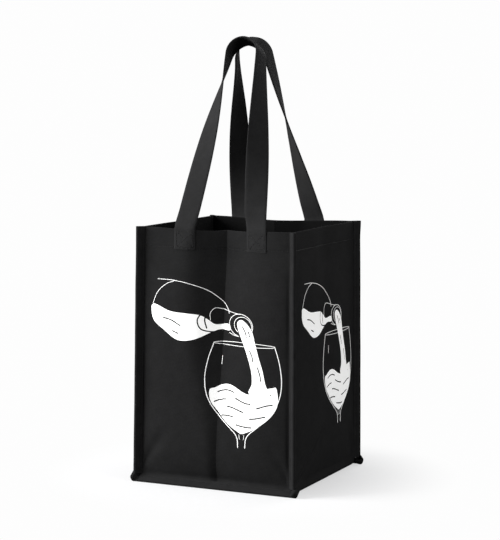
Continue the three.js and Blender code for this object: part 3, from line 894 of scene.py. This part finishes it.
def ink_piece(name, flat, triangles, fabric, outward, to_space):
    """The flat picture laid on a fabric as a thin closed film."""
    tree = BVHTree.FromObject(fabric, bpy.context.evaluated_depsgraph_get())
    outward = Vector(outward)
    hits = [tree.ray_cast(Vector(to_space(a, z)) + outward * 0.1, -outward)[0] for a, z in flat]
    vertices = [hit + outward * INK_STAND for hit in hits] + [hit - outward * INK_ROOT for hit in hits]
    count = len(flat)
    edges = np.vstack([triangles[:, [0, 1]], triangles[:, [1, 2]], triangles[:, [2, 0]]])
    _, inverse, uses = np.unique(np.sort(edges, 1), axis=0, return_inverse=True, return_counts=True)
    border = edges[uses[inverse.ravel()] == 1]
    walls = np.hstack([border[:, ::-1], border + count])
    return mesh_object(name, vertices, [*triangles, *(triangles[:, ::-1] + count), *walls], [flat, flat])


# ---- Materials ----

WHITE = (1, 1, 1, 1)
BOND_PITCH, BOND_SIZE = 1.5 * MM, 0.33  # rows of bond points, and a point's radius as a share of that
CLOTH_SPECULAR = 0.02
INSIDE_PAINTED_SHADE = 0.35  # painted shade: the inner face's colour as a share of the outer's, darker as if in the shade inside the bag
INK_PAINTED_GLOW = 0.15  # painted light: the ink glows a little, so it stays white where the fabric turns from the light


class Nodes:
    """A short way to write the nodes of a material or a world."""

    def __init__(self, owner):
        owner.use_nodes = True
        self.owner, self.tree = owner, owner.node_tree
        self.tree.nodes.clear()
        coordinates = self.add("ShaderNodeTexCoord")
        self.space, self.direction = coordinates["Object"], coordinates["Generated"]

    def add(self, kind, inputs=None, **settings):
        """Adds a node and gives its outputs."""
        node = self.tree.nodes.new(kind)
        for key, value in settings.items():
            setattr(node, key, value)
        for key, value in (inputs or {}).items():
            if isinstance(value, bpy.types.NodeSocket):
                self.tree.links.new(value, node.inputs[key])
            else:
                node.inputs[key].default_value = value
        return node.outputs

    def cloth(self):
        """The place on the flat fabric, across and along it."""
        split = self.add("ShaderNodeSeparateXYZ", {0: self.add("ShaderNodeUVMap", uv_map="Cloth")[0]})
        return split[0], split[1]

    def math(self, operation, first, second=0.0):
        return self.add("ShaderNodeMath", {0: first, 1: second}, operation=operation)[0]

    def noise(self, scale, detail=2.0, roughness=0.5, stretch=(1, 1, 1)):
        """Noise whose features are about 1 / scale metres across."""
        vector = self.add("ShaderNodeMapping", {"Vector": self.space, "Scale": stretch})[0]
        inputs = {"Vector": vector, "Scale": scale, "Detail": detail, "Roughness": roughness}
        return self.add("ShaderNodeTexNoise", inputs)[0]

    def ramp(self, value, low, high, start=0.0, end=1.0, kind="LINEAR"):
        inputs = {"Value": value, "From Min": low, "From Max": high, "To Min": start, "To Max": end}
        return self.add("ShaderNodeMapRange", inputs, interpolation_type=kind)[0]

    def mix(self, share, first, second):
        return self.add("ShaderNodeMix", {0: share, 6: first, 7: second}, data_type="RGBA")[2]

    def bump(self, height, distance, strength):
        return self.add("ShaderNodeBump", {"Height": height, "Distance": distance, "Strength": strength})[0]

    def by_camera(self, others, camera):
        """One shader for what the camera sees, and another for light on its way to the object."""
        is_camera = self.add("ShaderNodeLightPath")["Is Camera Ray"]
        return self.add("ShaderNodeMixShader", {0: is_camera, 1: others, 2: camera})[0]

    def output(self, shader, kind="ShaderNodeOutputMaterial"):
        self.add(kind, {0: shader})
        return self.owner

    def principled(self, **inputs):
        named = {key.replace("_", " "): value for key, value in inputs.items()}
        return self.output(self.add("ShaderNodeBsdfPrincipled", named)[0])


def grey(level):
    return (level, level, level * 1.02, 1.0)


def new_material(name):
    return Nodes(bpy.data.materials.new(name))


def bond_points(n, pitch):
    """The pressed dots of spun-bonded cloth, in staggered rows: 1 in a dot, 0 between."""
    across, along = (n.math("DIVIDE", axis, pitch) for axis in n.cloth())
    shift = n.math("MULTIPLY", n.math("MODULO", n.math("FLOOR", along), 2.0), 0.5)
    u = n.math("SUBTRACT", n.math("FRACT", n.math("ADD", across, shift)), 0.5)
    u = n.math("MULTIPLY", u, 0.75)
    v = n.math("SUBTRACT", n.math("FRACT", along), 0.5)
    far = n.math("SQRT", n.math("ADD", n.math("MULTIPLY", u, u), n.math("MULTIPLY", v, v)))
    return n.ramp(far, BOND_SIZE, BOND_SIZE * 0.6)


def nonwoven(name, level, sheen, pitch=BOND_PITCH):
    """Black spun-bonded cloth: pressed dots, matted fibres, faint clouds where the web is thicker. The face
    turned to the inside of the bag is painted darker, as shade inside the bag."""
    n = new_material(name)
    dots = bond_points(n, pitch)
    fibres = n.noise(1400, 3.0, 0.7, (1.0, 1.0, 0.35))
    cloud = n.noise(85, 3.0, 0.6)
    shade = n.math("MULTIPLY", n.ramp(fibres, 0.25, 0.75, 0.8, 1.2), n.ramp(cloud, 0.3, 0.7, 0.9, 1.1))
    shade = n.math("MULTIPLY", shade, n.ramp(dots, 0, 1, 1.05, 0.78))
    colour = n.mix(n.ramp(shade, 0.5, 1.5), grey(level * 0.5), grey(level * 1.5))
    # painted shade: the inner face is darkened as if in the shade inside the bag
    inside = n.add("ShaderNodeAttribute", attribute_name="inside")["Fac"]
    colour = n.mix(inside, colour, grey(level * INSIDE_PAINTED_SHADE))
    height = n.math("SUBTRACT", n.math("MULTIPLY", fibres, 0.5), dots)
    return n.principled(Base_Color=colour, Roughness=n.ramp(dots, 0, 1, 0.9, 0.62),
                        Normal=n.bump(height, 0.06 * MM, 0.7), Specular_IOR_Level=CLOTH_SPECULAR,
                        Sheen_Weight=sheen, Sheen_Roughness=0.45)


def binding_cloth(name):
    """Tape cut from a closer cloth, with a faint rib across it."""
    n = new_material(name)
    rib = n.math("SINE", n.math("MULTIPLY", n.cloth()[1], 2 * math.pi / (0.9 * MM)))
    fibres = n.noise(1500, 3.0, 0.7)
    cloud = n.noise(120)
    shade = n.math("MULTIPLY", n.ramp(fibres, 0.25, 0.75, 0.8, 1.2), n.ramp(cloud, 0.3, 0.7, 0.88, 1.12))
    colour = n.mix(n.ramp(shade, 0.5, 1.5), grey(0.0066), grey(0.0198))
    height = n.math("ADD", n.math("MULTIPLY", rib, 0.12), fibres)
    return n.principled(Base_Color=colour, Roughness=0.85, Normal=n.bump(height, 0.07 * MM, 0.6),
                        Specular_IOR_Level=CLOTH_SPECULAR, Sheen_Weight=0.005, Sheen_Roughness=0.4)


def thread(name):
    """Twisted polyester thread with a dull shine."""
    n = new_material(name)
    across, along = n.cloth()
    twist = n.math("ADD", n.math("MULTIPLY", across, 2 * math.pi / (0.5 * MM)),
                   n.math("MULTIPLY", along, 2 * math.pi / (0.6 * MM)))
    plies = n.math("SINE", twist)
    # painted shade: the grooves between the plies are darker and their crests lighter
    colour = n.mix(n.ramp(plies, -1, 1), grey(0.004), grey(0.009))
    return n.principled(Base_Color=colour, Roughness=0.5, Normal=n.bump(plies, 0.05 * MM, 0.6),
                        Specular_IOR_Level=0.12, Sheen_Weight=0.01)


def board_card(name):
    """Black card with short fibres and paler specks."""
    n = new_material(name)
    fibres = n.noise(900, 4.0, 0.7, (0.3, 1.0, 1.0))
    colour = n.mix(n.ramp(fibres, 0.3, 0.7), grey(0.035), grey(0.06))
    colour = n.mix(n.ramp(n.noise(260), 0.68, 0.75, 0.0, 0.5), colour, grey(0.12))
    return n.principled(Base_Color=colour, Roughness=0.82, Normal=n.bump(fibres, 0.05 * MM, 0.5),
                        Specular_IOR_Level=0.35)


def ink(name):
    """White screen-print ink. It lies in the cloth, so the bond points show through, and wears in specks."""
    n = new_material(name)
    dots = bond_points(n, BOND_PITCH)
    grain = n.noise(1300, 3.0, 0.7)
    wear = n.noise(520, 3.0, 0.65)
    colour = n.mix(n.ramp(grain, 0.3, 0.7), (0.9, 0.9, 0.89, 1), (0.96, 0.96, 0.95, 1))
    colour = n.mix(n.ramp(wear, 0.72, 0.8, 0.0, 0.35), colour, (0.3, 0.3, 0.3, 1))
    height = n.math("SUBTRACT", n.math("MULTIPLY", grain, 0.4), dots)
    # painted light: a faint white glow keeps the ink bright where the fabric is shaded
    return n.principled(Base_Color=colour, Roughness=0.62, Normal=n.bump(height, 0.04 * MM, 0.5),
                        Specular_IOR_Level=0.4, Emission_Color=WHITE, Emission_Strength=INK_PAINTED_GLOW)


# ---- Build the pieces ----

materials = {
    "nonwoven": nonwoven("black_nonwoven", 0.0118, 0.005),
    "strap": nonwoven("black_strap_cloth", 0.0165, 0.007, 1.3 * MM),
    "binding": binding_cloth("black_binding_tape"),
    "thread": thread("black_thread"),
    "board": board_card("black_card"),
    "print": ink("white_ink"),
}


def settle(piece, sags):
    """The base board holds the bottom square and full width. Towards the rim the sides lean in a little, and
    between its corners the rim sags."""
    def lean(co):
        height = np.clip(co[:, 2] / RIM, 0, 1)
        if sags:
            on_side = smooth(np.abs(co[:, 1]), HALF_DEPTH - 20 * MM, HALF_DEPTH - 5 * MM)
            span = np.cos(math.pi / 2 * np.clip(co[:, 0] / HALF_WIDTH, -1, 1)) ** 2
            co[:, 2] -= RIM_SAG * span * on_side * smooth(height, 0.5, 1)
        co[:, :2] *= (BOTTOM_SPREAD - (BOTTOM_SPREAD - RIM_SPREAD) * height)[:, None]

    move_vertices(piece, lean)


def place(piece, slot, body, *nodes):
    """Settles a piece unless it is the board or print, gives it its material and its body, and hides the CAD
    nodes that it stands for.
    """
    if slot not in ("board", "print"):
        settle(piece, sags=slot != "strap")
    piece.data.materials.append(materials[slot])
    if body:
        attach(piece, body)
    if nodes:
        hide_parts(*nodes)


def place_tape(pieces, node):
    """Places a binding and the stitches that close it."""
    tape_piece, seam = pieces
    place(tape_piece, "binding", "bag", node)
    place(seam, "thread", "bag")


front_panel = panel("front_panel_cloth", front_bulge, crease_x, -1)
gusset = gusset_strip()
place(front_panel, "nonwoven", "bag", "front_panel")
place(panel("rear_panel_cloth", rear_bulge, lambda z: -crease_x(z), 1), "nonwoven", "bag", "rear_panel")
place(gusset, "nonwoven", "bag", "gusset_strip")

# each corner: its place, the signs of its x and y, a seed, and how far the top of its binding opens
CORNERS = [("front_left", -1, -1, 41, 0.2), ("front_right", 1, -1, 47, 0.1),
           ("rear_left", -1, 1, 53, 0.3), ("rear_right", 1, 1, 59, 1.0)]
for corner, x_sign, y_sign, seed, flare in CORNERS:
    tape_pieces = corner_binding(f"{corner}_binding_tape", x_sign, y_sign, seed, flare)
    place_tape(tape_pieces, f"{corner}_binding")
for side, outward, seed in (("front", -1, 65), ("rear", 1, 71)):
    tape_pieces = bottom_binding(f"{side}_bottom_binding_tape", outward, seed)
    place_tape(tape_pieces, f"{side}_bottom_binding")

# each divider: its place, the seams at its two ends, a seed, and where one face looks
DIVIDERS = [("centre", panel_seam(-1, front_bulge), panel_seam(1, rear_bulge), 81, (1, 0, 0)),
            ("left", middle_seam(-1), side_seam(-1), 83, (0, 1, 0)),
            ("right", middle_seam(1), side_seam(1), 87, (0, 1, 0))]
for side, start_of, end_of, seed, outward in DIVIDERS:
    piece = divider(f"{side}_divider_cloth", start_of, end_of, seed, outward)
    place(piece, "nonwoven", "bag", f"{side}_divider")
place(base_board(), "board", "loose_board", "base_board")

HANDLES = [(Handle("front", -1, 0.5 * MM, (2.5, 1.4), (0, 0)), front_bulge),
           (Handle("rear", 1, -7 * MM, (1.3, 1.2), (18, 0)), rear_bulge)]
for handle, bulge_at in HANDLES:
    name = handle.place
    loop = strap(handle, bulge_at)
    place(loop, "strap", None, f"{name}_handle_loop", f"{name}_left_strap_end", f"{name}_right_strap_end")
    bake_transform(loop)
    for side in ("left", "right"):
        node = f"{name}_{side}_patch_stitch"
        place(patch_stitch(handle, side, f"{node}_thread", bulge_at), "thread", "bag", node)
    node = f"{name}_hem_stitch"
    place(panel_hem_stitch(f"{node}_thread", bulge_at, handle), "thread", "bag", node)
for side, sign in (("left", -1), ("right", 1)):
    node = f"{side}_hem_stitch"
    place(gusset_hem_stitch(f"{node}_thread", sign), "thread", "bag", node)

art = Drawing()
draw_glass(art)
draw_stream(art)
draw_bottle(art)
flat, triangles = flat_print(art)
side_flat = SIDE_ANCHOR + SIDE_SCALE * (flat - SIDE_ANCHOR)
place(ink_piece("front_print", flat, triangles, front_panel, (0, -1, 0), lambda a, z: (a, -HALF_DEPTH, z)),
      "print", "bag")
place(ink_piece("side_print", side_flat, triangles, gusset, (1, 0, 0), lambda a, z: (HALF_WIDTH, a, z)),
      "print", "bag")


# ---- Floor, light and camera ----

CAMERA_LENS = 123.04  # mm, on a 36 mm sensor
CAMERA_AZIMUTH, CAMERA_ELEVATION, CAMERA_ROLL = 24.564, 6.051, 0.271  # degrees
CAMERA_DISTANCE = 2.046
CAMERA_ASIDE, CAMERA_TARGET_Z = -0.5 * MM, 228.2 * MM
BACKDROP_LEVEL = 0.985
FLOOR_RADIUS = 4.5
FLOOR_GLOW = 0.48  # share of the floor under the bag that glows white and takes no shadow
FLOOR_FADE = 0.09, 0.24  # distances over which the rest of it fades into the backdrop
FLOOR_ALBEDO = 0.64
FLOOR_BOUNCE = 0.06  # how much light the floor sends up on to the bag
ROOM_BRIGHT_TOWARDS = (-0.7, -0.4, 0.35)
ROOM_DIM, ROOM_BRIGHT = 0.24, 0.42
LIGHT_DISTANCE = 2.2
LIT_POINT = (0, 0, 0.2)  # all lights look at it
# each soft box: name, azimuth and elevation in degrees, size and power
LIGHTS = [("key", -60, 18, 1.3, 142), ("fill", 76, 22, 1.4, 26), ("back", 170, 30, 1.4, 26)]


def floor():
    """A pale round floor that fades into the backdrop with distance, so no edge shows."""
    angles = np.linspace(0, 2 * math.pi, 64, endpoint=False)
    rim = [(FLOOR_RADIUS * math.cos(a), FLOOR_RADIUS * math.sin(a), 0) for a in angles]
    obj = mesh_object("floor", rim, [range(len(rim))])
    n = new_material("pale_floor")
    distance = n.add("ShaderNodeVectorMath", {0: n.space}, operation="LENGTH")["Value"]
    fade = n.ramp(distance, *FLOOR_FADE, FLOOR_GLOW, 1.0, "SMOOTHSTEP")

    def lit(albedo, glow):
        diffuse = n.add("ShaderNodeBsdfDiffuse", {"Color": grey(albedo)})[0]
        white = n.add("ShaderNodeEmission", {"Color": WHITE, "Strength": glow})[0]
        return n.add("ShaderNodeMixShader", {0: fade, 1: diffuse, 2: white})[0]

    shader = n.by_camera(lit(FLOOR_BOUNCE, FLOOR_BOUNCE), lit(FLOOR_ALBEDO, BACKDROP_LEVEL))
    obj.data.materials.append(n.output(shader))


def backdrop():
    """White to the camera. To the object it is a room that is brighter to the left and front."""
    n = Nodes(bpy.data.worlds.new("studio"))
    bright = Vector(ROOM_BRIGHT_TOWARDS).normalized()
    towards = n.add("ShaderNodeVectorMath", {0: n.direction, 1: bright}, operation="DOT_PRODUCT")["Value"]
    level = n.ramp(towards, -0.7, 0.8, ROOM_DIM, ROOM_BRIGHT, "SMOOTHSTEP")
    room = n.add("ShaderNodeBackground", {"Color": WHITE, "Strength": level})[0]
    white = n.add("ShaderNodeBackground", {"Color": WHITE, "Strength": BACKDROP_LEVEL})[0]
    bpy.context.scene.world = n.output(n.by_camera(room, white), "ShaderNodeOutputWorld")


def towards_viewer(azimuth, elevation):
    """The direction from the bag to a place around it. Azimuth 0 is in front, and it turns to the right."""
    a, e = math.radians(azimuth), math.radians(elevation)
    return Vector((math.sin(a) * math.cos(e), -math.cos(a) * math.cos(e), math.sin(e)))


def aimed(name, data, target, back, distance, roll=0.0):
    """An object that looks at a target from a distance, standing in the direction back."""
    obj = bpy.data.objects.new(name, data)
    obj.location = target + back * distance
    obj.rotation_mode = "QUATERNION"
    obj.rotation_quaternion = Quaternion(back, math.radians(roll)) @ back.to_track_quat("Z", "Y")
    bpy.context.scene.collection.objects.link(obj)
    return obj


def area_light(name, azimuth, elevation, size, power):
    """A square soft box."""
    light = bpy.data.lights.new(name, "AREA")
    light.size, light.energy = size, power
    aimed(name, light, Vector(LIT_POINT), towards_viewer(azimuth, elevation), LIGHT_DISTANCE)


def camera():
    data = bpy.data.cameras.new("camera")
    data.lens = CAMERA_LENS
    data.clip_start, data.clip_end = 0.05, 50
    a = math.radians(CAMERA_AZIMUTH)
    target = Vector((CAMERA_ASIDE * math.cos(a), CAMERA_ASIDE * math.sin(a), CAMERA_TARGET_Z))
    back = towards_viewer(CAMERA_AZIMUTH, CAMERA_ELEVATION)
    bpy.context.scene.camera = aimed("camera", data, target, back, CAMERA_DISTANCE, CAMERA_ROLL)


floor()
backdrop()
for light in LIGHTS:
    area_light(*light)
camera()
bpy.context.scene.view_settings.view_transform = "Standard"
